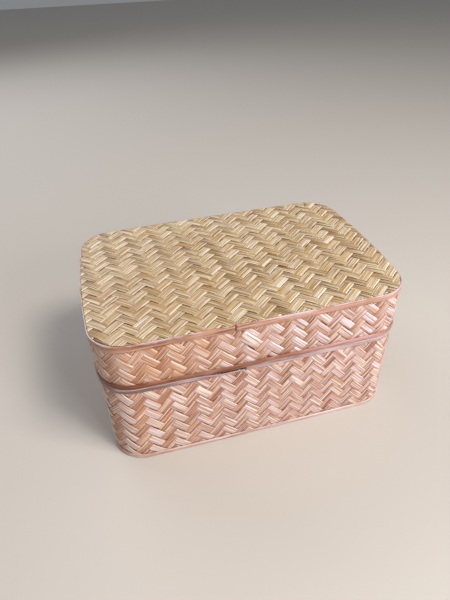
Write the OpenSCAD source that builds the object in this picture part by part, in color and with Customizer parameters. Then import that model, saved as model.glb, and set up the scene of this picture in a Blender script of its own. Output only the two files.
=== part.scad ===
// Lidded box for tea, in woven split bamboo over bent wood.
// Origin: centre of the footprint, at the surface the box stands on. +X along the
// long side, -Y the front, +Z up. Millimetres.

/* [Box] */
// Outer width of the lid, left to right
box_w = 180; // [150:1:210]
// Outer depth of the lid, front to back
box_d = 122; // [105:1:140]
// Overall height, from the table to the top of the lid
box_h = 88; // [76:1:100]
// Height of the plane where the lid meets the base
part_z = 57.6; // [50:0.1:62]
// Radius of the upright corners, outside
corner_r = 20; // [16:1:26]
// How far each long side bows outward over half the width
long_bow = 0.8; // [0.4:0.1:1.5]
// How far each short side bows outward over half the depth
short_bow = 3.7; // [2:0.1:5]
// How far the lid stands out beyond the base, on each side
lid_overhang = 0.3; // [0.1:0.1:1]

/* [Walls] */
// Thickness of a split-bamboo hoop
hoop_t = 0.8; // [0.6:0.1:1.4]
// Thickness of a woven mat
mat_t = 1.0; // [0.8:0.1:1.4]
// Thickness of the bent-wood wall of the lid
lid_core_t = 1.3; // [1:0.1:1.6]
// Thickness of the inner collar that locates the lid
collar_t = 1.2; // [1:0.1:1.6]
// Thickness of the top and bottom boards
board_t = 2.0; // [1.5:0.1:3]

/* [Lid fit] */
// How far the inner collar rises above the parting plane
collar_rise = 10; // [6:1:14]
// Gap all round between the collar and the lid's bent-wood wall
collar_gap = 0.4; // [0.3:0.05:0.6]

/* [Hoops] */
// Height of the hoop round the lid's top edge
top_hoop_h = 4.0; // [2.5:0.1:5]
// Height of the hoop round the lid's mouth
mouth_hoop_h = 2.9; // [2:0.1:4.5]
// Height of the hoop round the base's rim
rim_hoop_h = 3.1; // [2:0.1:4]
// Height of the hoop round the base's foot
foot_hoop_h = 2.4; // [2:0.1:4]
// Height of the strip bent round the inside of the lid, under its top board
strip_h = 3.0; // [2:0.1:5]
// Thickness of that inner strip
strip_t = 1.4; // [1:0.1:2]
// Place of the top hoop's joint along the front
top_joint_x = -15; // [-40:1:40]
// Place of the mouth hoop's joint along the back
mouth_joint_x = 24; // [-40:1:40]
// Place of the rim hoop's joint along the front
rim_joint_x = -10; // [-40:1:40]
// Place of the foot hoop's joint along the back
foot_joint_x = -20; // [-40:1:40]

/* [Hidden] */

// Colours
straw = "#C9AE8F";
rose_straw = "#D0A898";
copper = "#B9826A";
lavender = "#C4A6A4";
cream = "#DABDB2";
cedar = "#CBA274";
pale_wood = "#DCC09A";

// Short steps in height: what each layer is set back from the one beside it
mat_drop = 0.2;       // wall mats end this far below the parting plane
mat_lift = 0.4;       // the bottom mats stay this far off the table
hoop_drop = 0.1;      // the top hoop ends this far below the top mat
joint_slit = 0.4;     // width of the slit between a hoop's two ends
joint_lean = 12;      // lean of that slit from upright, in degrees

// Depth of each layer's outer face behind the lid's outer face
lid_mat_in = hoop_t;
lid_core_in = lid_mat_in + mat_t;
lid_room_in = lid_core_in + lid_core_t;
base_in = lid_overhang;
base_mat_in = base_in + hoop_t;
base_core_in = base_mat_in + mat_t;
collar_in = lid_room_in + collar_gap;

// The base's bent-wood wall fills the space between its mat and the collar
base_core_t = collar_in - base_core_in;

// Heights
top_mat_z = box_h - mat_t;
top_board_z = top_mat_z - board_t;
floor_board_z = mat_lift + mat_t;
floor_z = floor_board_z + board_t;
collar_top_z = part_z + collar_rise;

// The outline: eight arcs that run smoothly into each other, two shallow long
// sides, two bowed short sides and four corners
long_r = pow(box_w / 2, 2) / (2 * long_bow);
short_r = pow(box_d / 2, 2) / (2 * short_bow);
back_centre = [0, box_d / 2 - long_r];
right_centre = [box_w / 2 - short_r, 0];

// A corner's centre lies where it touches both neighbouring arcs from inside
centre_line = right_centre - back_centre;
centre_gap = norm(centre_line);
to_back = long_r - corner_r;
to_right = short_r - corner_r;
foot_along = (pow(to_back, 2) - pow(to_right, 2) + pow(centre_gap, 2)) / (2 * centre_gap);
foot_across = sqrt(pow(to_back, 2) - pow(foot_along, 2));
corner_centre = back_centre
    + (foot_along * centre_line + foot_across * [centre_line.y, -centre_line.x]) / centre_gap;

// Half the angle that each side arc spans
long_a = atan2(corner_centre.x - back_centre.x, corner_centre.y - back_centre.y);
short_a = atan2(corner_centre.y - right_centre.y, corner_centre.x - right_centre.x);
side_steps = 8;
corner_steps = 12;

// One quarter's arcs as [centre, radius, first angle, last angle, steps], then
// the same quarter turned and mirrored round the box
function flip(point, x, y) = [x * point.x, y * point.y];
ARCS = [
    [right_centre, short_r, -short_a, short_a, side_steps],
    [corner_centre, corner_r, short_a, 90 - long_a, corner_steps],
    [back_centre, long_r, 90 - long_a, 90 + long_a, side_steps],
    [flip(corner_centre, -1, 1), corner_r, 90 + long_a, 180 - short_a, corner_steps],
    [flip(right_centre, -1, 1), short_r, 180 - short_a, 180 + short_a, side_steps],
    [flip(corner_centre, -1, -1), corner_r, 180 + short_a, 270 - long_a, corner_steps],
    [flip(back_centre, 1, -1), long_r, 270 - long_a, 270 + long_a, side_steps],
    [flip(corner_centre, 1, -1), corner_r, 270 + long_a, 360 - short_a, corner_steps]
];

// Points of the outline, moved inward by inset: every arc keeps its centre
function outline(inset) = [
    for (arc = ARCS, i = [0 : arc[4] - 1])
        let (a = arc[2] + (arc[3] - arc[2]) * i / arc[4])
            arc[0] + (arc[1] - inset) * [cos(a), sin(a)]
];

// A plate that fills the outline
module plate(inset, low, high) {
    translate([0, 0, low]) linear_extrude(high - low) polygon(outline(inset));
}

// A closed band that follows the outline
module band(inset, thick, low, high) {
    translate([0, 0, low]) linear_extrude(high - low) difference() {
        polygon(outline(inset));
        polygon(outline(inset + thick));
    }
}

// A band bent from one strip: open where its ends meet, at joint_x on the front
// (side = -1) or on the back (side = 1)
module hoop(inset, low, high, joint_x, side) {
    difference() {
        band(inset, hoop_t, low, high);
        translate([joint_x, side * box_d / 2, (low + high) / 2]) rotate([0, joint_lean, 0])
            cube([joint_slit, 4 * hoop_t + 4 * long_bow, 2 * (high - low)], center = true);
    }
}

module base_floor_mat() {
    color(straw) plate(base_core_in, mat_lift, floor_board_z);
}

module base_floor_board() {
    color(cedar) plate(collar_in, floor_board_z, floor_z);
}

module base_wall_core() {
    color(pale_wood) band(base_core_in, base_core_t, floor_board_z, part_z);
}

module base_wall_mat() {
    color(rose_straw) band(base_mat_in, mat_t, mat_lift, part_z - mat_drop);
}

module base_rim_hoop() {
    color(lavender) hoop(base_in, part_z - rim_hoop_h, part_z, rim_joint_x, -1);
}

module base_foot_hoop() {
    color(cream) hoop(base_in, 0, foot_hoop_h, foot_joint_x, 1);
}

// Stands on the floor board inside the base and reaches up into the lid
module inner_collar() {
    color(pale_wood) band(collar_in, collar_t, floor_z, collar_top_z);
}

module lid_top_mat() {
    color(straw) plate(lid_mat_in, top_mat_z, box_h);
}

module lid_top_board() {
    color(cedar) plate(lid_room_in, top_board_z, top_mat_z);
}

module lid_inner_strip() {
    color(cream) band(lid_room_in, strip_t, top_board_z - strip_h, top_board_z);
}

module lid_wall_core() {
    color(pale_wood) band(lid_core_in, lid_core_t, part_z, top_mat_z);
}

module lid_wall_mat() {
    color(rose_straw) band(lid_mat_in, mat_t, part_z + mat_drop, top_mat_z);
}

module lid_top_hoop() {
    color(copper) hoop(0, box_h - hoop_drop - top_hoop_h, box_h - hoop_drop, top_joint_x, -1);
}

module lid_mouth_hoop() {
    color(copper) hoop(0, part_z, part_z + mouth_hoop_h, mouth_joint_x, 1);
}

base_floor_mat();
base_floor_board();
base_wall_core();
base_wall_mat();
base_rim_hoop();
base_foot_hoop();
inner_collar();
lid_top_mat();
lid_top_board();
lid_inner_strip();
lid_wall_core();
lid_wall_mat();
lid_top_hoop();
lid_mouth_hoop();
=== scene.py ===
"""Looks of a lidded tea caddy in twill-woven split bamboo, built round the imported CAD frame.

Lengths are in millimetres until a mesh is made, and +Z is up. u runs round the box from
the middle of the front, first towards +X; the wall mats are woven in (u, z), the top and
bottom mats in (x, y).
"""
import math

import bpy
import numpy as np
from mathutils import Matrix, Vector


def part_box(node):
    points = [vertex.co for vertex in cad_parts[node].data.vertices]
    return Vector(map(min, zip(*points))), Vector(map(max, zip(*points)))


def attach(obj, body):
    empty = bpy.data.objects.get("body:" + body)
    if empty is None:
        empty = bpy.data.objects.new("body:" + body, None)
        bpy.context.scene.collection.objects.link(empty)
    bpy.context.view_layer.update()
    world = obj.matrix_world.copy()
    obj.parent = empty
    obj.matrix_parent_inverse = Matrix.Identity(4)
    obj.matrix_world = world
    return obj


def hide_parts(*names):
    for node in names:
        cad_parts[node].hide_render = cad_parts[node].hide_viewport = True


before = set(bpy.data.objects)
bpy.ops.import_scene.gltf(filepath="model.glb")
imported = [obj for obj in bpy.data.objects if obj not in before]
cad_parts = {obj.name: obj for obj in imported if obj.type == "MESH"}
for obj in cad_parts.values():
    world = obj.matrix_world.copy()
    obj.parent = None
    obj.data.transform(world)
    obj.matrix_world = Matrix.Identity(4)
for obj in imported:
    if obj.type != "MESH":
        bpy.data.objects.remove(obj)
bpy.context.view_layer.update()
MM = 0.001


# ---------------------------------------------------------------- sizes from the frame
def low(node):
    return np.array(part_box(node)[0]) / MM


def high(node):
    return np.array(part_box(node)[1]) / MM


LID_W, LID_D = (high("lid_mouth_hoop") - low("lid_mouth_hoop"))[:2]
OVERHANG = low("base_foot_hoop")[0] - low("lid_mouth_hoop")[0]
HOOP_T = low("lid_wall_mat")[0] - low("lid_mouth_hoop")[0]
MAT_T = low("lid_wall_core")[0] - low("lid_wall_mat")[0]
CORNER_R = 20.0        # upright corners, outside
LONG_BOW = 0.8         # how far a long side bows out over half the width
SHORT_BOW = 3.7        # how far a short side bows out over half the depth

# Depth of each layer's outer face behind the lid's outer face
LID_MAT = HOOP_T
LID_CORE = LID_MAT + MAT_T
LID_ROOM = low("lid_top_board")[0] - low("lid_mouth_hoop")[0]
BASE_HOOP = OVERHANG
BASE_MAT = BASE_HOOP + HOOP_T
BASE_CORE = BASE_MAT + MAT_T
COLLAR = low("inner_collar")[0] - low("lid_mouth_hoop")[0]


# ---------------------------------------------------------------- the plan outline
class Outline:
    """Eight arcs that run smoothly into each other, from the middle of the front, which
    splits the front arc in two. Each is (x, y, radius, from, to)."""

    def __init__(self):
        long_r = (LID_W / 2) ** 2 / (2 * LONG_BOW)
        short_r = (LID_D / 2) ** 2 / (2 * SHORT_BOW)
        back = np.array([0, LID_D / 2 - long_r])
        right = np.array([LID_W / 2 - short_r, 0])
        line = right - back
        gap = np.hypot(*line)
        to_back, to_right = long_r - CORNER_R, short_r - CORNER_R
        along = (to_back ** 2 - to_right ** 2 + gap ** 2) / (2 * gap)
        across = math.sqrt(to_back ** 2 - along ** 2)
        corner = back + (along * line + across * np.array([line[1], -line[0]])) / gap
        half_long = math.atan2(corner[0] - back[0], corner[1] - back[1])
        half_short = math.atan2(corner[1] - right[1], corner[0] - right[0])
        q = math.pi / 2
        self.arcs = [
            (0, -back[1], long_r, -q, -q + half_long),
            (corner[0], -corner[1], CORNER_R, -q + half_long, -half_short),
            (right[0], 0, short_r, -half_short, half_short),
            (corner[0], corner[1], CORNER_R, half_short, q - half_long),
            (0, back[1], long_r, q - half_long, q + half_long),
            (-corner[0], corner[1], CORNER_R, q + half_long, 2 * q - half_short),
            (-right[0], 0, short_r, 2 * q - half_short, 2 * q + half_short),
            (-corner[0], -corner[1], CORNER_R, 2 * q + half_short, 3 * q - half_long),
            (0, -back[1], long_r, 3 * q - half_long, 3 * q),
        ]

    def length(self, inset):
        return sum((r - inset) * (b - a) for _, _, r, a, b in self.arcs)

    def at(self, u, inset, out=0.0):
        """Points at distance u round the curve that lies inset inside the lid's outer face,
        then moved outward by out. Returns x and y."""
        u = np.mod(np.asarray(u, float), self.length(inset))
        out = np.broadcast_to(out, u.shape)
        x, y = np.zeros_like(u), np.zeros_like(u)
        start = 0.0
        for k, (cx, cy, r, a, b) in enumerate(self.arcs):
            span = (r - inset) * (b - a)
            spare = 1e-6 if k == len(self.arcs) - 1 else 0    # for rounding at the closing point
            here = (u >= start) & (u <= start + span + spare)
            angle = a + (u[here] - start) / (r - inset)
            x[here] = cx + (r - inset + out[here]) * np.cos(angle)
            y[here] = cy + (r - inset + out[here]) * np.sin(angle)
            start += span
        return x, y


OUTLINE = Outline()


# ---------------------------------------------------------------- mesh helpers
def make_object(name, verts, faces, flat, attributes, material, body, node):
    """One piece from arrays in millimetres, which rides on a body in place of a CAD node.
    flat marks the faces that are not shaded smooth; attributes holds named vectors per
    vertex."""
    mesh = bpy.data.meshes.new(name)
    sizes = np.array([len(f) for f in faces], np.int32)
    loops = np.concatenate([np.asarray(f, np.int32) for f in faces])
    mesh.vertices.add(len(verts))
    mesh.vertices.foreach_set("co", (np.asarray(verts) * MM).astype(np.float32).ravel())
    mesh.loops.add(len(loops))
    mesh.loops.foreach_set("vertex_index", loops)
    mesh.polygons.add(len(sizes))
    mesh.polygons.foreach_set("loop_start", np.r_[0, np.cumsum(sizes)[:-1]].astype(np.int32))
    mesh.polygons.foreach_set("loop_total", sizes)
    mesh.polygons.foreach_set("use_smooth", ~np.asarray(flat))
    mesh.update(calc_edges=True)
    for key, values in attributes.items():
        layer = mesh.attributes.new(key, "FLOAT_VECTOR", "POINT")
        layer.data.foreach_set("vector", np.asarray(values, np.float32).ravel())
    mesh.validate()
    mesh.materials.append(material)
    obj = bpy.data.objects.new(name, mesh)
    bpy.context.scene.collection.objects.link(obj)
    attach(obj, body)
    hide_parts(node)


class Build:
    """Collects swept solids: grids of rings joined by quads, with a cap at each end. Every
    vertex also carries three vectors for its material:
    fibre: (distance along the strip, distance across it, a number of the strip's own)
    tone: (the strip's shade, place across it from -1 to 1, height of the weave there)
    place: (place along a float from -1 to 1, the float's own chance, how stained it is, with
    the painted shade along the box)
    A hoop's tone ends with its height from 0 to 1, and its place starts with its torn end."""

    def __init__(self):
        self.verts, self.faces, self.flat = [], [], []
        self.fibre, self.tone, self.place = [], [], []
        self.count = 0

    def sweep(self, points, fibre, tone, flat_sides=(), place=None):
        """points is rings x section x 3. Section edges listed in flat_sides stay crisp."""
        rings, section = points.shape[:2]
        ids = self.count + np.arange(rings * section).reshape(rings, section)
        for k in range(section):
            m = (k + 1) % section
            quad = np.stack([ids[:-1, k], ids[1:, k], ids[1:, m], ids[:-1, m]], 1)
            self.faces.extend(quad)
            self.flat.extend([k in flat_sides] * len(quad))
        self.faces.append(ids[0])
        self.faces.append(ids[-1][::-1])
        self.flat.extend([True, True])
        self.verts.append(points.reshape(-1, 3))
        self.fibre.append(fibre.reshape(-1, 3))
        self.tone.append(tone.reshape(-1, 3))
        self.place.append((tone * 0 if place is None else place).reshape(-1, 3))
        self.count += rings * section

    def finish(self, name, material, body, node):
        attributes = {"fibre": np.concatenate(self.fibre), "tone": np.concatenate(self.tone),
                      "place": np.concatenate(self.place)}
        make_object(name, np.concatenate(self.verts), self.faces, self.flat, attributes,
                    material, body, node)


# ---------------------------------------------------------------- weaving
class Lattice:
    """Crossings of a mat lie at origin + i a + j b. Rising strips run along a and are
    numbered by j; falling strips run along b and are numbered by i.

    A hand-woven mat is pulled a little out of line. bend_x and bend_y say how far, in mm, at
    50 mm from the middle: terms in x, x x, x y and y y. With around set to the length of a
    closed mat, x is a wave that meets itself after one turn."""

    def __init__(self, step_x, step_y, x0, y0, lean, slope, middle=0.0, around=None,
                 bend_x=(0, 0, 0, 0), bend_y=(0, 0, 0, 0)):
        skew = np.linalg.inv(np.array([[1, -lean], [-slope, 1]]))
        self.origin = skew @ [x0, y0]
        self.a = skew @ [step_x, step_y]
        self.b = skew @ [step_x, -step_y]
        self.inverse = np.linalg.inv(np.column_stack([self.a, self.b]))
        self.middle, self.around = middle, around
        self.bend = np.array([bend_x, bend_y], float)

    def drift(self, x, y):
        """How far the mat is out of line at a place."""
        reach = 50.0       # where bend_x and bend_y are stated
        if self.around is None:
            p = np.clip(x, -LID_W / 2, LID_W / 2) / reach
            y = np.clip(y, -LID_D / 2, LID_D / 2)
            pp = p * p
        else:
            turn = 2 * math.pi / self.around
            p = np.sin(turn * x) / (turn * reach)
            pp = 2 * (1 - np.cos(2 * turn * x)) / (2 * turn * reach) ** 2
        q = (y - self.middle) / reach
        return np.tensordot(self.bend, np.stack([p, pp, p * q, q * q]), 1)

    def strip_line(self, number, rising):
        """A crossing on a strip, and the step from there to the strip's next one."""
        if rising:
            return self.origin + number * self.b, self.a
        return self.origin + number * self.a, self.b

    def cell(self, x, y):
        """A place counted in crossings, as (i, j)."""
        d = self.drift(x, y)
        d = np.stack([x - d[0] - self.origin[0], y - d[1] - self.origin[1]])
        return np.tensordot(self.inverse, d, 1)


def ease(x):
    """Smooth step from 0 to 1 as x goes from 0 to 1."""
    x = np.clip(x, 0, 1)
    return x * x * (3 - 2 * x)


def spot(x, y, place, radius):
    """1 at a place, fading to 0 beyond the radius."""
    return np.exp(-((x - place[0]) ** 2 + (y - place[1]) ** 2) / radius ** 2)


def painted_end_shade(u, inset):
    """Painted light and shade along the box: 1 at its left end, painted warmer in colour and
    darker as if in shade, and -1 at the right end, painted paler as if lit."""
    return -np.sin(2 * math.pi * u / OUTLINE.length(inset))


class WallRegion:
    """A mat wrapped round the walls, between two heights. It is pinched under the hoops,
    which end at bare_low and start at bare_high, and bellies out between them."""

    def __init__(self, inset, z_low, z_high, bare_low, bare_high, ageing, stains_and_shading=(), belly=0.4,
                 pinch=0.68):
        self.inset, self.z_low, self.z_high = inset, z_low, z_high
        self.ageing, self.stains_and_shading = ageing, stains_and_shading
        self.bare_low, self.bare_high = bare_low, bare_high
        self.belly, self.pinch = belly, pinch

    def centre(self, lattice, number, rising):
        """Where a strip's line crosses the middle height."""
        start, way = lattice.strip_line(number, rising)
        return start + way * ((self.z_low + self.z_high) / 2 - start[1]) / way[1]

    def ends(self, centre, way, side, q):
        """How far lines along way run from the centre, moved q sideways, to the mat's edges."""
        s = [(z - centre[1] - q * side[1]) / way[1] for z in (self.z_low, self.z_high)]
        return np.minimum(*s), np.maximum(*s)

    def within(self, x, y):
        """A wall mat has no rim for its strips to keep inside."""
        return x, y

    def stain(self, x, y):
        """How stained the mat is, with the painted shade along the box added: bleached below 0."""
        round_trip = OUTLINE.length(self.inset)
        x = np.mod(x + round_trip / 2, round_trip) - round_trip / 2
        return self.ageing * painted_end_shade(x, self.inset) + sum(
            strength * spot(x, y, place, radius) for place, radius, strength in self.stains_and_shading)

    def place(self, x, y, h):
        """Points in the box's frame at height h above the mat's middle surface."""
        under, run = 0.6, 4.0      # the mat starts to swell under a hoop, and is free after run
        free = ease((y - self.bare_low + under) / run) * ease((self.bare_high + under - y) / run)
        out = h * (self.pinch + (1 - self.pinch) * free) + self.belly * free
        px, py = OUTLINE.at(x, self.inset, out)
        return np.stack([px, py, y], -1)


class PlateRegion:
    """A flat mat that fills the outline. facing is 1 for a top and -1 for an underside."""

    def __init__(self, inset, z, facing):
        self.z, self.facing = z, facing
        sides = 400
        u = np.linspace(0, OUTLINE.length(inset), sides, endpoint=False)
        p = np.stack(OUTLINE.at(u, inset), 1)
        edge = np.roll(p, -1, 0) - p
        normal = np.stack([edge[:, 1], -edge[:, 0]], 1)
        self.normal = normal / np.linalg.norm(normal, axis=1)[:, None]
        self.limit = (self.normal * p).sum(1)
        self.corners = p

    def centre(self, lattice, number, rising):
        """The place on a strip's line nearest to the middle of the box."""
        start, way = lattice.strip_line(number, rising)
        return start - way * (start @ way) / (way @ way)

    def reach(self, centre, side):
        """How far the outline reaches on either side of a strip's line."""
        across = (self.corners - centre) @ side
        return across.min(), across.max()

    def ends(self, centre, way, side, q):
        points = centre + np.outer(q, side)
        rate = self.normal @ way
        room = self.limit[:, None] - self.normal @ points.T
        tiny, huge = 1e-9, 1e9
        s = room / np.where(np.abs(rate) < tiny, tiny, rate)[:, None]
        s0 = np.where(rate[:, None] < 0, s, -huge).max(0)
        s1 = np.where(rate[:, None] > 0, s, huge).min(0)
        return s0, s1

    def stain(self, x, y):
        """The front left of the mat is darker."""
        return 1.9 * spot(x, y, (-50, -42), 42)

    def within(self, x, y):
        """Draw any point that lies beyond the outline back onto it."""
        passes = 4         # enough at a corner, where it is beyond several sides at once
        for _ in range(passes):
            beyond = np.tensordot(self.normal, np.stack([x, y]), 1) - self.limit[:, None, None]
            worst, by = beyond.argmax(0), np.maximum(beyond.max(0), 0)
            x, y = x - by * self.normal[worst, 0], y - by * self.normal[worst, 1]
        return x, y

    def place(self, x, y, h):
        return np.stack([x, y, self.z + self.facing * h], -1)


# Half of a strip's cross-section as (share of half width, share of thickness above the
# middle, share of the crown); it is mirrored for the other half
HALF_SECTION = [(1.0, -0.5, 0.0), (1.0, 0.1, 0.0), (0.93, 0.42, 0.1), (0.55, 0.5, 0.7), (0.0, 0.5, 1.0)]
SECTION = [(-q, t, c) for q, t, c in HALF_SECTION] + HALF_SECTION[-2::-1]
CRISP = (0, len(SECTION) - 2, len(SECTION) - 1)     # its flanks and underside
MIDDLE = len(HALF_SECTION) - 1                      # its crown

RIM_ROOM = 0.25        # a flat mat's strips stay this far inside its outline
LEAST_WIDTH = 0.6      # slivers at the rim that are narrower or shorter are left out
LEAST_LENGTH = 1.2
END_RUN = 7.0          # a strip's own unevenness fades out over this length at its ends
SETTLING = 3           # passes in which a strip's sideways drift settles


def over_under(phase):
    """Height of a strip as a share of its swing: two crossings over, two under."""
    steep = 3.4
    return np.tanh(steep * np.sin(math.pi * (phase + 0.5) / 2)) / math.tanh(steep)


class Mat:
    """One twill mat: two families of strips over a region. widths and skids are for rising
    (True) and falling strips. widths are shares of the pitch. skids are how far strips
    shuffle sideways from one end of a float to the other; above 0 turns a float towards the
    level. proud lifts the family that leads over the other one. pulls are snagged falling
    floats: (place, how far aside, times wider, how far up). swing is how far a strip rises
    over a crossing and sinks under one, and step is the distance between its rings."""

    def __init__(self, lattice, region, rising_leads, widths, skids, seed, pulls=(), swing=0.25,
                 step=0.66, thick=0.4, crown=0.10, proud=0.06):
        self.lattice, self.region, self.rising_leads = lattice, region, rising_leads
        self.widths, self.skids, self.seed, self.pulls = widths, skids, seed, pulls
        self.swing, self.step, self.thick = swing, step, thick
        self.crown, self.proud = crown, proud

    def pitch(self, rising):
        """Distance from one strip of a family to the next, square to them."""
        a, b = self.lattice.a, self.lattice.b
        return abs(a[0] * b[1] - a[1] * b[0]) / np.hypot(*(a if rising else b))

    def add_family(self, build, rising, numbers):
        rng = np.random.default_rng(self.seed * 2 + rising)
        draws = 12
        for number in numbers:
            self.add_strip(build, rising, number, rng.random(draws))

    def aside(self, centre, way, side, s):
        """Sideways drift of a strip's middle line at distance s along it."""
        out = 0 * s
        for _ in range(SETTLING):
            x = centre[0] + s * way[0] + out * side[0]
            y = centre[1] + s * way[1] + out * side[1]
            out = np.tensordot(side, self.lattice.drift(x, y), 1)
        return out

    def spans(self, centre, way, side, q, mid_q):
        """Where a strip starts and ends: its middle line, then each line q of its section."""
        at_start = at_end = centre
        for _ in range(SETTLING):
            m0 = self.region.ends(at_start, way, side, mid_q)[0]
            m1 = self.region.ends(at_end, way, side, mid_q)[1]
            at_start = centre + side * self.aside(centre, way, side, m0)
            at_end = centre + side * self.aside(centre, way, side, m1)
        s0 = self.region.ends(at_start, way, side, q)[0]
        s1 = self.region.ends(at_end, way, side, q)[1]
        return m0, m1, s0, s1

    def pull(self, x, y, s, q, side):
        """Snagged floats on a falling strip. Returns x, y and how far each point is lifted."""
        caught = 1.7           # the middle line of a snagged strip passes this near
        moved_run, lifted_run = 9.0, 7.2
        lifted = 0.0
        for place, shift, wider, up in self.pulls:
            miss = np.hypot(x[:, MIDDLE] - place[0], y[:, MIDDLE] - place[1])
            if miss.min() < caught:
                off = s - s[miss.argmin(), MIDDLE]
                moved = (shift + (wider - 1) * q) * np.exp(-(off / moved_run) ** 8)
                x, y = x + moved * side[0], y + moved * side[1]
                lifted = lifted + up * np.exp(-(off / lifted_run) ** 10)
        return x, y, lifted

    def add_strip(self, build, rising, number, luck):
        """One strip, if enough of it is inside the mat. luck holds its own random numbers."""
        lattice, region = self.lattice, self.region
        way = lattice.strip_line(number, rising)[1]
        way = way / np.hypot(*way)
        if way[1] < 0:
            way = -way
        side = np.array([way[1], -way[0]])
        centre = region.centre(lattice, number, rising)

        half = self.pitch(rising) / 2 * self.widths[rising] * (0.965 + 0.06 * luck[0])
        q_low, q_high = -half, half
        if isinstance(region, PlateRegion):
            drawn = centre + side * self.aside(centre, way, side, np.zeros(1))
            reach = region.reach(drawn, side)
            q_low, q_high = max(q_low, reach[0] + RIM_ROOM), min(q_high, reach[1] - RIM_ROOM)
            if q_high - q_low < LEAST_WIDTH:
                return
        share = np.array([point[0] for point in SECTION])
        q = (q_low + q_high) / 2 + share * (q_high - q_low) / 2
        m0, m1, s0, s1 = self.spans(centre, way, side, q, np.array([(q_low + q_high) / 2]))
        length = float(m1[0] - m0[0])
        if length < LEAST_LENGTH:
            return

        # the rings are square to the strip, and slant near its ends to meet the mat's edge
        rings = max(4, int(length / self.step) + 1)
        t = np.linspace(0, 1, rings)[:, None]
        straight = m0 + (m1 - m0) * t
        slanted = s0 + (s1 - s0) * t
        near_end = np.clip(1 - np.minimum(t, 1 - t) * length / min(END_RUN, length), 0, 1)
        s = straight + near_end * (slanted - straight)
        q = np.broadcast_to(q, s.shape)
        fade = 1 - near_end

        # where it runs, with the wander of a hand-split strip
        phases = 2 * math.pi * luck[1:4]
        wander = 0.10 * np.sin(s / 14 + phases[0]) + 0.07 * np.sin(s / 6.1 + phases[1])
        qw = q + wander * fade + self.aside(centre, way, side, s)
        x = centre[0] + s * way[0] + qw * side[0]
        y = centre[1] + s * way[1] + qw * side[1]
        i, j = lattice.cell(x, y)
        phase = i + number if rising else j + number
        leads = 1 if rising == self.rising_leads else -1
        f = over_under(phase) * leads
        run = np.cos(math.pi * (phase + 0.5) / 2) * leads
        skid = -self.skids[rising] * run * fade
        x, y = x + skid * side[0], y + skid * side[1]
        lifted = 0.0
        if not rising:
            x, y, lifted = self.pull(x, y, s, q, side)
        f = np.minimum(f + 3 * lifted, 1)
        x, y = region.within(x, y)

        # how high it lies
        tilt = 0.035 * np.sin(s / 9.3 + phases[2]) * fade
        rise = np.array([up * self.thick + crown * self.crown for _, up, crown in SECTION])
        ride = 0.05 * (luck[4] - 0.5) * fade
        h = f * self.swing + rise + tilt * q + ride + self.proud * leads + lifted
        points = region.place(x, y, h)

        # each float has a chance value of its own, from a hash of its number
        float_no = np.floor((phase + 0.5) / 2)
        chance = np.sin(float_no * 12.9898 + number * 78.233) * 43758.5453
        shade = np.mod(chance, 1)
        tone = np.stack([0.55 * luck[5] + 0.45 * shade, share * np.ones_like(s), f], -1)
        fibre = np.stack([s + 300 * luck[6], q, np.full(s.shape, 50 * luck[7])], -1)
        place = np.stack([run, np.mod(chance * 7.31, 1), region.stain(x, y)], -1)
        build.sweep(points, fibre, tone, CRISP, place)


# ---------------------------------------------------------------- hoops and bands
def rounded_section(thick, height, edge_out, edge_in, crown, steps=3):
    """Cross-section of a bent strip as (out, up), anticlockwise from the inside foot. out is
    0 on the inner face. Edge radii differ outside and inside; crown swells the outer face."""
    points = []
    for cx, cy, r, a in ((thick - edge_out, edge_out, edge_out, -90),
                         (thick - edge_out, height - edge_out, edge_out, 0),
                         (edge_in, height - edge_in, edge_in, 90),
                         (edge_in, edge_in, edge_in, 180)):
        for k in range(steps + 1):
            b = math.radians(a + 90 * k / steps)
            points.append((cx + r * math.cos(b), cy + r * math.sin(b)))
    foot = steps + 1
    face = [(thick + crown * (1 - (2 * t - 1) ** 2), edge_out + (height - 2 * edge_out) * t)
            for t in (0.25, 0.5, 0.75)]
    return points[:foot] + face + points[foot:]


DIP_RUN = 22.0         # a dipped top edge sinks over the strip's last stretch
JOINT_RUN = 4.0        # a slanting joint slants the strip this far on either side


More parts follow.
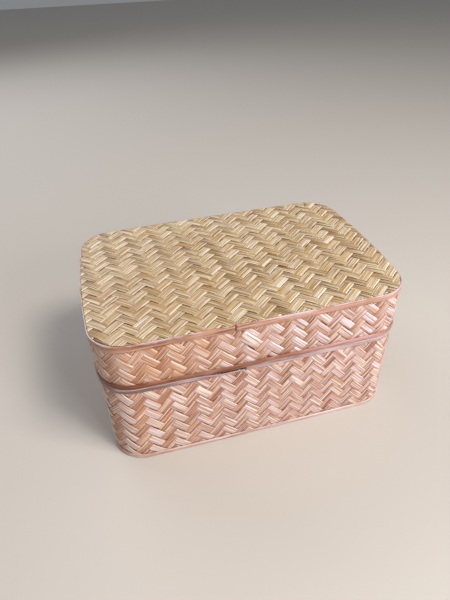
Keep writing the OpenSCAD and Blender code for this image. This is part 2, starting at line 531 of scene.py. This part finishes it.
def band(build, inset, section, z, seed, joint_u=None, slit=0.04, wobble=0.0, lean=0.0, dip=0.0,
         bows=()):
    """Bends a strip of this section round the outline. inset is the depth of its inner
    face. It starts and ends at joint_u, or else at the middle of the back, open by slit.
    lean slants the joint, and dip is how far the top edge sinks at the strip's end. bows are
    places where the whole strip rides high or low: (distance round, reach, height)."""
    rng = np.random.default_rng(seed)
    total = OUTLINE.length(inset)
    start = total / 2 if joint_u is None else joint_u
    step = 1.2
    u = start + np.linspace(slit / 2, total - slit / 2, int(total / step))[:, None]
    out = np.array([p[0] for p in section])[None]
    up = np.array([p[1] for p in section])[None]
    height = up.max()
    edge = np.clip(1 - np.minimum(u - u[0], u[-1] - u) / JOINT_RUN, 0, 1)
    u = u + lean * (up / height - 0.5) * edge
    ph = 2 * math.pi * rng.random(6)
    swell = wobble * (np.sin(u / 23 + ph[0]) + 0.7 * np.sin(u / 9.7 + ph[1]))
    drift = wobble * (np.sin(u / 31 + ph[2]) + 0.6 * np.sin(u / 12.3 + ph[3]))
    o = out + 0.5 * swell * (out > out.max() / 2)
    sink = dip * ease((u - u[-1] + DIP_RUN) / 10) * (up / height)
    for place, reach, high in bows:
        away = np.mod(u - place + total / 2, total) - total / 2
        sink = sink - high * np.exp(-(away / reach) ** 2)
    zz = z + up + drift * (up / height) * 0.5 + drift * 0.25 - sink
    x, y = OUTLINE.at(u + 0 * out, inset, o + 0 * u)
    points = np.stack([x, y, zz + 0 * u], -1)
    middle = height / 2
    fibre = np.stack([u + 0 * out + 400 * ph[4], (up - middle) + out + 0 * u,
                      np.full(x.shape, 9 * ph[5])], -1)
    tone = np.stack([np.full(x.shape, 0.5), np.abs(up - middle) / middle + 0 * u,
                     up / height + 0 * u], -1)
    torn = ease((u - u[-1] + DIP_RUN) / 5) if dip else 0 * u
    # its place ends with the painted shade along the box, darker and warmer at the left end
    place = np.stack([torn + 0 * out, 0 * x, painted_end_shade(u + 0 * out, inset)], -1)
    build.sweep(points, fibre, tone, place=place)


def plate(build, inset, z_low, z_high, seed, edge=0.3):
    """A thin board with eased edges that fills the outline."""
    u = np.linspace(0, OUTLINE.length(inset), 220, endpoint=False)[::-1]
    levels = [(edge, z_low), (0, z_low + edge), (0, z_high - edge), (edge, z_high)]
    points = np.array([np.stack([*OUTLINE.at(u, inset, -back), np.full_like(u, z)], -1)
                       for back, z in levels])
    x, y, z = np.moveaxis(points, -1, 0)
    fibre = np.stack([x, y + 0.7 * z, np.full_like(x, seed)], -1)
    build.sweep(points, fibre, np.full_like(points, 0.5), range(len(u)))


# ---------------------------------------------------------------- materials
def linear(r, g, b):
    """A colour given as 0 to 255 display values, for a shader socket."""
    def one(c):
        c /= 255
        return c / 12.92 if c <= 0.04045 else ((c + 0.055) / 1.055) ** 2.4
    return (one(r), one(g), one(b), 1.0)


class Nodes:
    """Short names for making shader nodes."""

    def __init__(self, name):
        self.material = bpy.data.materials.new(name)
        self.material.use_nodes = True
        self.tree = self.material.node_tree
        self.shader = self.tree.nodes["Principled BSDF"]

    def link(self, value, socket):
        if isinstance(value, bpy.types.NodeSocket):
            self.tree.links.new(value, socket)
        else:
            socket.default_value = value

    def attribute(self, name):
        node = self.tree.nodes.new("ShaderNodeAttribute")
        node.attribute_name = name
        return node.outputs["Vector"]

    def split(self, vector):
        node = self.tree.nodes.new("ShaderNodeSeparateXYZ")
        self.link(vector, node.inputs[0])
        return node.outputs

    def math(self, kind, a, b=0.0, c=0.0, clamp=False):
        node = self.tree.nodes.new("ShaderNodeMath")
        node.operation = kind
        node.use_clamp = clamp
        for value, socket in zip((a, b, c), node.inputs):
            self.link(value, socket)
        return node.outputs[0]

    def scaled(self, vector, factors):
        node = self.tree.nodes.new("ShaderNodeVectorMath")
        node.operation = "MULTIPLY"
        self.link(vector, node.inputs[0])
        node.inputs[1].default_value = factors
        return node.outputs[0]

    def noise(self, vector, detail=2.0, rough=0.5, distortion=0.0):
        node = self.tree.nodes.new("ShaderNodeTexNoise")
        self.link(vector, node.inputs["Vector"])
        node.inputs["Scale"].default_value = 1.0
        node.inputs["Detail"].default_value = detail
        node.inputs["Roughness"].default_value = rough
        node.inputs["Distortion"].default_value = distortion
        return node.outputs["Fac"]

    def remap(self, value, a, b, c=0.0, d=1.0):
        """c to d as the value goes from a to b, and no further."""
        node = self.tree.nodes.new("ShaderNodeMapRange")
        self.link(value, node.inputs["Value"])
        for socket, v in zip(("From Min", "From Max", "To Min", "To Max"), (a, b, c, d)):
            node.inputs[socket].default_value = v
        return node.outputs["Result"]

    def ramp(self, value, stops):
        node = self.tree.nodes.new("ShaderNodeValToRGB")
        self.link(value, node.inputs[0])
        points = node.color_ramp.elements
        while len(points) < len(stops):
            points.new(0.5)
        for point, (place, colour) in zip(points, stops):
            point.position = place
            point.color = colour
        return node.outputs["Color"]

    def mix(self, share, a, b):
        node = self.tree.nodes.new("ShaderNodeMix")
        node.data_type = "RGBA"
        self.link(share, node.inputs["Factor"])
        self.link(a, node.inputs["A"])
        self.link(b, node.inputs["B"])
        return node.outputs["Result"]

    def bump(self, height, strength, distance):
        node = self.tree.nodes.new("ShaderNodeBump")
        self.link(height, node.inputs["Height"])
        node.inputs["Strength"].default_value = strength
        node.inputs["Distance"].default_value = distance
        self.tree.links.new(node.outputs[0], self.shader.inputs["Normal"])


def bamboo(name, dark, body, pale, line, shadow, warm, across=0.0, along=0.0, band=0.0, rim=0.0,
           lines=0.8, stain_and_shade_colour=None):
    """Split bamboo: long fibre streaks from dark to pale, torn fibres and streaks in the line
    colour, hairline splits, and painted shadow where strips tuck under and on their flanks.
    Some floats are warmer than others. across and along paint light and shade on a float from
    one side or end to the other. band paints shadow in the warm tone along one edge and rim
    paints a highlight along one, the far edge when they are below 0. lines is the strength of
    the line colour. aged is the colour where the box is stained or carries the painted shade
    along the box, or else the warm tone."""
    rough = 0.40
    n = Nodes(name)
    fibre, tone = n.attribute("fibre"), n.split(n.attribute("tone"))
    place = n.split(n.attribute("place"))
    broad = n.noise(n.scaled(fibre, (0.030, 0.55, 1.0)), 1.0)
    mid = n.noise(n.scaled(fibre, (0.030, 1.2, 1.0)), 1.0)
    fine = n.noise(n.scaled(fibre, (0.050, 2.6, 1.0)), 2.0, 0.6)
    patch = n.noise(n.scaled(fibre, (0.10, 0.2, 1.0)), 1.0)
    value = 0.5
    for part, share in ((broad, 0.5), (mid, 1.7), (fine, 1.8), (patch, 0.3)):
        value = n.math("MULTIPLY_ADD", n.math("SUBTRACT", part, 0.5), share, value)
    value = n.math("MULTIPLY_ADD", n.math("SUBTRACT", tone["X"], 0.5), 0.2, value)
    # painted light and shade: across lightens or darkens one side of a float, along one of its ends
    value = n.math("MULTIPLY_ADD", tone["Y"], across, value)
    # darker where stained, which on the walls includes painted shade at the left end of the box
    value = n.math("MULTIPLY_ADD", place["Z"], -0.12, value)
    value = n.math("MULTIPLY_ADD", place["X"], along, value, clamp=True)
    colour = n.ramp(value, [(0.08, dark), (0.5, body), (0.92, pale)])
    warmth = n.math("MULTIPLY_ADD", n.math("SUBTRACT", patch, 0.5), 1.4, place["Y"])
    colour = n.mix(n.remap(warmth, 0.6, 1.0, 0.0, 0.38), colour, warm)
    # painted shadow: the warm tone along one long edge of the strip
    if band:
        stain = n.math("MULTIPLY_ADD", n.math("SUBTRACT", patch, 0.5), 1.2, tone["Y"])
        far = math.copysign(0.8, band)
        colour = n.mix(n.remap(stain, 0.0, far, 0.0, abs(band)), colour, warm)
    # stains, and on the walls the painted shade along the box: warmer and darker towards its left end
    stained = place["Z"]       # bleached below 0, and split open far below
    colour = n.mix(n.remap(stained, 0.0, 1.2, 0.0, 0.6), colour, stain_and_shade_colour or warm)
    colour = n.mix(n.remap(stained, -0.5, -2.5, 0.0, 0.45), colour, line)
    edge = n.math("ABSOLUTE", tone["Y"])
    torn = n.remap(n.noise(n.scaled(fibre, (0.09, 0.6, 1.0)), 1.0), 0.46, 0.56)
    torn = n.math("MULTIPLY", n.remap(edge, 0.74, 0.90), torn)
    bright = n.remap(n.noise(n.scaled(fibre, (0.022, 1.8, 3.1)), 1.0), 0.57, 0.61)
    bright = n.math("MAXIMUM", torn, n.math("MULTIPLY", bright, 0.8))
    # painted highlight along one edge of the strip, strongest towards one end of the float
    if rim:
        side = n.math("MULTIPLY", tone["Y"], math.copysign(1, rim))
        painted_edge_highlight = n.math("MULTIPLY", n.remap(side, 0.55, 0.78), n.remap(place["X"], 0.9, -0.5, 0.2, 1.0))
        bright = n.math("MAXIMUM", bright, n.math("MULTIPLY", painted_edge_highlight, abs(rim)))
    colour = n.mix(n.math("MULTIPLY", bright, lines), colour, line)
    hair = n.remap(n.noise(n.scaled(fibre, (0.025, 1.9, 1.7)), 1.0), 0.42, 0.38)
    colour = n.mix(n.math("MULTIPLY", hair, 0.7), colour, dark)
    split = n.remap(n.math("ABSOLUTE", n.math("SUBTRACT", tone["Y"], 0.5)), 0.10, 0.05)
    colour = n.mix(n.math("MULTIPLY", split, n.remap(stained, -1.0, -2.0)), colour, shadow)
    # painted shadow where the strip tucks under and on its flanks
    tucked = n.remap(tone["Z"], 0.15, -0.35)
    flank = n.remap(edge, 0.965, 0.995)
    colour = n.mix(n.math("MAXIMUM", tucked, flank), colour, shadow)
    n.link(colour, n.shader.inputs["Base Color"])
    n.link(n.remap(fine, 0.3, 0.7, rough + 0.08, rough - 0.06), n.shader.inputs["Roughness"])
    ridge = n.math("MULTIPLY_ADD", fine, 0.4, n.math("MULTIPLY", hair, -0.4))
    n.bump(n.math("MULTIPLY_ADD", mid, 0.8, ridge), 0.5, 0.14 * MM)
    return n.material


def hoop_bamboo(name, dark, body, pale, edge_colour, edge_share, ageing):
    """A broad planed strip: fine straight fibres, a painted highlight in the edge colour along
    its top arris, in patches, and painted shadow in patches on the top of its torn end. ageing
    darkens it towards the left end of the box, a painted shade."""
    rough = 0.38
    n = Nodes(name)
    fibre, tone = n.attribute("fibre"), n.split(n.attribute("tone"))
    place = n.split(n.attribute("place"))
    broad = n.noise(n.scaled(fibre, (0.035, 0.9, 1.0)), 2.0)
    fine = n.noise(n.scaled(fibre, (0.09, 2.2, 1.0)), 2.0, 0.6)
    stain = n.noise(n.scaled(fibre, (0.05, 0.1, 1.0)), 2.0)
    value = n.math("MULTIPLY_ADD", n.math("SUBTRACT", broad, 0.5), 1.5, 0.5)
    value = n.math("MULTIPLY_ADD", n.math("SUBTRACT", fine, 0.5), 1.3, value)
    # painted shade: darker towards the left end of the box
    value = n.math("MULTIPLY_ADD", place["Z"], -ageing, value)
    value = n.math("MULTIPLY_ADD", n.math("SUBTRACT", stain, 0.5), 1.0, value, clamp=True)
    colour = n.ramp(value, [(0.1, dark), (0.5, body), (0.9, pale)])
    # painted highlight: a cool reflection along the top arris, broken into patches
    highlight_breakup = n.noise(n.scaled(fibre, (0.07, 0.5, 1.0)), 3.0, 0.7)
    reach = n.math("MULTIPLY_ADD", n.math("SUBTRACT", highlight_breakup, 0.5), 1.6, tone["Z"])
    painted_edge_highlight = n.math("MULTIPLY", n.remap(reach, 0.78, 1.0), edge_share)
    colour = n.mix(painted_edge_highlight, colour, edge_colour)
    # painted shadow in dark patches on the top of the hoop's torn end, where it sinks away
    painted_gap_shadow = n.math("MULTIPLY", n.remap(tone["Z"], 0.80, 0.86), place["X"])
    shadow_breakup = n.remap(n.noise(n.scaled(fibre, (1.1, 0.4, 1.0)), 1.0), 0.68, 0.58)
    colour = n.mix(n.math("MULTIPLY", painted_gap_shadow, shadow_breakup), colour, linear(50, 23, 19))
    n.link(colour, n.shader.inputs["Base Color"])
    n.link(n.remap(fine, 0.3, 0.7, rough + 0.07, rough - 0.07), n.shader.inputs["Roughness"])
    n.bump(n.math("ADD", fine, broad), 0.35, 0.10 * MM)
    return n.material


def sanded_wood(name, dark, body, pale):
    """Bent wood and boards inside: straight grain with soft growth lines."""
    n = Nodes(name)
    fibre = n.attribute("fibre")
    rings = n.noise(n.scaled(fibre, (0.008, 0.22, 1.0)), 3.0, 0.55, 0.4)
    pores = n.noise(n.scaled(fibre, (0.07, 2.6, 1.0)), 2.0, 0.6)
    wave = n.math("SINE", n.math("MULTIPLY", rings, 55.0))
    value = n.math("MULTIPLY_ADD", wave, 0.16, 0.5)
    value = n.math("MULTIPLY_ADD", n.math("SUBTRACT", pores, 0.5), 0.6, value, clamp=True)
    n.link(n.ramp(value, [(0.15, dark), (0.5, body), (0.85, pale)]), n.shader.inputs["Base Color"])
    n.link(n.remap(pores, 0.3, 0.7, 0.62, 0.5), n.shader.inputs["Roughness"])
    n.bump(pores, 0.3, 0.06 * MM)
    return n.material


TOP_RISING = bamboo(
    "bamboo_top_rising", dark=linear(148, 112, 68), body=linear(198, 168, 126),
    pale=linear(222, 204, 174), line=linear(246, 238, 224), shadow=linear(122, 88, 52),
    warm=linear(204, 162, 104), across=0.04, along=-0.04, band=-0.45, rim=0.62,
    stain_and_shade_colour=linear(190, 155, 108))
TOP_FALLING = bamboo(
    "bamboo_top_falling", dark=linear(120, 86, 50), body=linear(177, 143, 100),
    pale=linear(206, 184, 146), line=linear(236, 222, 198), shadow=linear(116, 80, 46),
    warm=linear(186, 138, 80), along=-0.18, stain_and_shade_colour=linear(180, 144, 92))
# The lavender tint in the wall strips' pale colours is painted sheen, cool light reflected off the
# bamboo skin.
LID_FALLING = bamboo(
    "bamboo_lid_falling", dark=linear(162, 108, 83), body=linear(206, 173, 167),
    pale=linear(228, 214, 224), line=linear(255, 244, 236), shadow=linear(148, 90, 62),
    warm=linear(206, 148, 102), across=0.05, band=-0.65, rim=0.25, lines=0.66)
LID_RISING = bamboo(
    "bamboo_lid_rising", dark=linear(134, 79, 53), body=linear(188, 140, 118),
    pale=linear(220, 194, 196), line=linear(246, 226, 206), shadow=linear(138, 78, 52),
    warm=linear(188, 128, 92), across=0.05, along=-0.20, band=-0.5, lines=0.7)
BASE_FALLING = bamboo(
    "bamboo_base_falling", dark=linear(160, 104, 80), body=linear(210, 173, 165),
    pale=linear(232, 214, 222), line=linear(254, 240, 222), shadow=linear(146, 88, 62),
    warm=linear(196, 140, 104), across=-0.04, band=0.65, stain_and_shade_colour=linear(232, 212, 202))
BASE_RISING = bamboo(
    "bamboo_base_rising", dark=linear(130, 74, 50), body=linear(196, 149, 134),
    pale=linear(226, 198, 198), line=linear(246, 226, 204), shadow=linear(136, 78, 54),
    warm=linear(158, 96, 66), across=-0.14, band=0.85, stain_and_shade_colour=linear(206, 138, 90))
COPPER = hoop_bamboo(
    "bamboo_copper_hoop", dark=linear(132, 78, 52), body=linear(184, 132, 105),
    pale=linear(208, 164, 148), edge_colour=linear(204, 184, 190), edge_share=0.9, ageing=0.22)
MOUTH = hoop_bamboo(
    "bamboo_mouth_hoop", dark=linear(108, 52, 18), body=linear(152, 96, 68),
    pale=linear(194, 146, 138), edge_colour=linear(186, 146, 144), edge_share=0.15, ageing=0.5)
LAVENDER = hoop_bamboo(
    "bamboo_rim_hoop", dark=linear(126, 92, 84), body=linear(172, 142, 142),
    pale=linear(202, 174, 176), edge_colour=linear(216, 196, 200), edge_share=0.5, ageing=0.42)
CREAM = hoop_bamboo(
    "bamboo_foot_hoop", dark=linear(162, 116, 92), body=linear(204, 168, 154),
    pale=linear(216, 190, 188), edge_colour=linear(222, 204, 206), edge_share=0.45, ageing=0.18)
BENT_WOOD = sanded_wood("bent_wood", dark=linear(176, 140, 98), body=linear(206, 174, 130),
                        pale=linear(224, 198, 158))
BOARD = sanded_wood("board_wood", dark=linear(150, 104, 66), body=linear(190, 144, 98),
                    pale=linear(212, 172, 126))


# ---------------------------------------------------------------- mats
def weave_families(name, body, mat, numbers, materials):
    """The mat's two pieces. numbers and materials are for (rising, falling) strips."""
    for word, strips, material in zip(("rising", "falling"), numbers, materials):
        build = Build()
        mat.add_family(build, word == "rising", strips)
        build.finish(f"{name}_{word}_strips", material, body, name)


def weave_wall(name, body, hoops, materials, inset, around, step_y, x0, y0, lean, bend_x, bend_y,
               skids, seed, ageing, stains_and_shading, pulls=()):
    """around is how many times the pattern repeats round the box; it meets itself one row
    lower. hoops are the nodes that cover the mat's lower and upper edge. stains are (place,
    radius, strength), and bleach where the strength is below 0. The broad one at the left of
    the base paints shade on its rising strips and light on its falling ones."""
    z_low, z_high = low(name)[2], high(name)[2]
    total = OUTLINE.length(inset)
    lattice = Lattice(total / (4 * around), step_y, x0, y0, lean, -2 * step_y / total,
                      (z_low + z_high) / 2, total, bend_x, bend_y)
    region = WallRegion(inset, z_low, z_high, high(hoops[0])[2], low(hoops[1])[2], ageing, stains_and_shading)
    mat = Mat(lattice, region, rising_leads=False, widths={True: 0.96, False: 0.99}, skids=skids,
              seed=seed, pulls=pulls)
    weave_families(name, body, mat, (range(2 * around - 1), range(2 * around + 1)), materials)


def weave_plate(name, body, inset, facing, lattice, seed, step):
    centring = 0.1         # the weave lies this far outside the middle of the mat's thickness
    z = (low(name)[2] + high(name)[2]) / 2 + centring * facing
    mat = Mat(lattice, PlateRegion(inset, z, facing), rising_leads=True,
              widths={True: 0.96, False: 0.95}, skids={True: 0.12, False: 0.12}, seed=seed,
              swing=0.27, step=step)
    enough = range(-40, 41)
    weave_families(name, body, mat, (enough, enough), (TOP_RISING, TOP_FALLING))


SPLIT_FLOAT = (-7.3, 76.1)     # on the front of the lid: bleached, split, slipped and lifted
EDGE_GAP = 0.1                 # between a flat mat's strips and the ring round them

weave_wall("lid_wall_mat", "lid", ("lid_mouth_hoop", "lid_top_hoop"), (LID_RISING, LID_FALLING),
           inset=LID_MAT + MAT_T / 2, around=41, step_y=3.59, x0=6.96, y0=3.70, lean=-0.024,
           bend_x=(0.24, 0.8, 0, 0), bend_y=(-0.2, 0.4, 0.4, 0),
           skids={True: -0.05, False: 0.12}, seed=3, ageing=0.75,
           stains_and_shading=[((-50, 66), 11, 1.2), ((-30, 84), 20, 0.5), ((-7, 77), 5, -4),
                   ((-62, 74), 22, 0.7)],
           pulls=[(SPLIT_FLOAT, 1.5, 1.35, 0.45), ((-6.7, 81.5), 0.3, 0.8, 0.0),
                  ((5.5, 63), 0.6, 0.6, 0.0)])
# the broad stain at its left end paints shade on the rising strips and light on the falling ones
weave_wall("base_wall_mat", "base", ("base_foot_hoop", "base_rim_hoop"),
           (BASE_RISING, BASE_FALLING),
           inset=BASE_MAT + MAT_T / 2, around=40, step_y=3.718, x0=6.60, y0=2.0, lean=-0.019,
           bend_x=(0.1, -1.2, -2.2, -0.1), bend_y=(0, -2.0, -1.2, -0.4),
           skids={True: -0.18, False: 0.0}, seed=5, ageing=0.15, stains_and_shading=[((-70, 26), 50, 0.65)])
weave_plate("lid_top_mat", "lid", LID_MAT + EDGE_GAP, 1,
            Lattice(step_x=3.949, step_y=3.71, x0=0.60, y0=5.05, lean=-0.068, slope=-0.035,
                    bend_x=(0, 0.25, -0.4, -1.6), bend_y=(0, 0, -0.3, -0.7)),
            seed=7, step=0.66)
weave_plate("base_floor_mat", "base", BASE_CORE + EDGE_GAP, -1,
            Lattice(step_x=3.97, step_y=3.8, x0=0.0, y0=0.0, lean=0.0, slope=0.0),
            seed=9, step=1.2)


# ---------------------------------------------------------------- hoops
def hoop(name, body, node, inset, material, joint_u, seed, edge_out=0.32, dip=0.0, bows=()):
    """A hoop with an open slanting joint. Its outer face swells by crown."""
    z_low, z_high = low(node)[2], high(node)[2]
    crown, edge_in = 0.10, 0.12
    section = rounded_section(HOOP_T - crown, z_high - z_low, edge_out, edge_in, crown)
    build = Build()
    band(build, inset + HOOP_T, section, z_low, seed, joint_u, slit=0.6, wobble=0.05, lean=0.3,
         dip=dip, bows=bows)
    build.finish(name, material, body, node)


def on_back(x, inset):
    """Distance round the outline to a place x on the back. On the front it is x itself."""
    return OUTLINE.length(inset) / 2 - x


hoop("top_hoop", "lid", "lid_top_hoop", 0, COPPER, joint_u=-15, seed=11)
hoop("mouth_hoop", "lid", "lid_mouth_hoop", 0, MOUTH,
     joint_u=on_back(24, HOOP_T), seed=12, bows=((-80, 16, 0.7), (-19, 11, -0.6)))
hoop("rim_hoop", "base", "base_rim_hoop", BASE_HOOP, LAVENDER, joint_u=-10, seed=13,
     dip=1.4)
hoop("foot_hoop", "base", "base_foot_hoop", BASE_HOOP, CREAM,
     joint_u=on_back(-20, BASE_MAT), seed=14, edge_out=0.4)


# ---------------------------------------------------------------- bent wood and boards
def wood_band(name, body, node, inset, thick, seed, edge):
    """A bent-wood band with its joint at the back."""
    z_low, z_high = low(node)[2], high(node)[2]
    build = Build()
    section = rounded_section(thick, z_high - z_low, edge, edge, crown=0.0, steps=2)
    band(build, inset + thick, section, z_low, seed)
    build.finish(name, BENT_WOOD, body, node)


def wood_board(name, body, node, inset, seed):
    build = Build()
    plate(build, inset, low(node)[2], high(node)[2], seed)
    build.finish(name, BOARD, body, node)


STRIP_T = 1.4
COLLAR_T = 1.2
wood_band("lid_bent_wall", "lid", "lid_wall_core", LID_CORE, LID_ROOM - LID_CORE,
          seed=21, edge=0.25)
wood_band("base_bent_wall", "base", "base_wall_core", BASE_CORE, COLLAR - BASE_CORE,
          seed=22, edge=0.25)
wood_band("locating_collar", "base", "inner_collar", COLLAR, COLLAR_T,
          seed=23, edge=0.35)
wood_band("lid_strip", "lid", "lid_inner_strip", LID_ROOM, STRIP_T,
          seed=24, edge=0.4)
wood_board("top_board", "lid", "lid_top_board", LID_ROOM, seed=31)
wood_board("floor_board", "base", "base_floor_board", COLLAR, seed=32)


# ---------------------------------------------------------------- stage, light, camera
def add_floor():
    mesh = bpy.data.meshes.new("floor")
    half = 3.0
    corners = [(-half, -half, 0), (half, -half, 0), (half, half, 0), (-half, half, 0)]
    mesh.from_pydata(corners, [], [(0, 1, 2, 3)])
    floor = bpy.data.objects.new("floor", mesh)
    bpy.context.scene.collection.objects.link(floor)
    n = Nodes("floor_plain")
    n.shader.inputs["Base Color"].default_value = (0.58, 0.53, 0.48, 1)
    n.shader.inputs["Roughness"].default_value = 0.7
    mesh.materials.append(n.material)


def add_area(name, place, target, size, power, colour):
    light = bpy.data.lights.new(name, "AREA")
    light.shape = "RECTANGLE"
    light.size, light.size_y = size
    light.energy = power
    light.color = colour
    obj = bpy.data.objects.new(name, light)
    obj.location = place
    obj.rotation_euler = (Vector(target) - Vector(place)).to_track_quat("-Z", "Y").to_euler()
    bpy.context.scene.collection.objects.link(obj)


def add_lights():
    """A warm key light high on the front right, a cool one low beside it, and one behind."""
    middle = (0, 0, 0.05)
    add_area("key", (0.5, -0.55, 1.1), middle, (0.4, 0.4), 11.6, (1.0, 0.945, 0.87))
    add_area("front", (0.30, -0.60, 0.36), middle, (0.3, 0.3), 3.25, (0.88, 0.94, 1.0))
    add_area("back", (-0.5, 0.9, 0.8), middle, (0.9, 0.6), 5.8, (0.92, 0.95, 1.0))
    world = bpy.data.worlds.new("studio")
    world.use_nodes = True
    world.node_tree.nodes["Background"].inputs["Color"].default_value = (0.86, 0.9, 0.95, 1)
    world.node_tree.nodes["Background"].inputs["Strength"].default_value = 0.26
    bpy.context.scene.world = world


def add_camera():
    """Looks down on the front from slightly left of its middle."""
    yaw, pitch, roll = (math.radians(v) for v in (-14.16, 36.63, -2.12))
    target = Vector((0.0151, 0.1627, 0.2)) * LID_W * MM
    distance = 1.9059 * LID_W * MM
    back = Vector((math.sin(yaw) * math.cos(pitch), -math.cos(yaw) * math.cos(pitch), math.sin(pitch)))
    right = Vector((0, 0, 1)).cross(back).normalized()
    up = back.cross(right)
    turned_right = right * math.cos(roll) + up * math.sin(roll)
    turned_up = -right * math.sin(roll) + up * math.cos(roll)
    data = bpy.data.cameras.new("camera")
    data.lens = 28.51
    data.clip_start = 0.01
    cam = bpy.data.objects.new("camera", data)
    rotation = Matrix((turned_right, turned_up, back)).transposed()
    cam.matrix_world = Matrix.Translation(target + back * distance) @ rotation.to_4x4()
    bpy.context.scene.collection.objects.link(cam)
    bpy.context.scene.camera = cam


add_floor()
add_lights()
add_camera()
bpy.context.scene.view_settings.view_transform = "Standard"
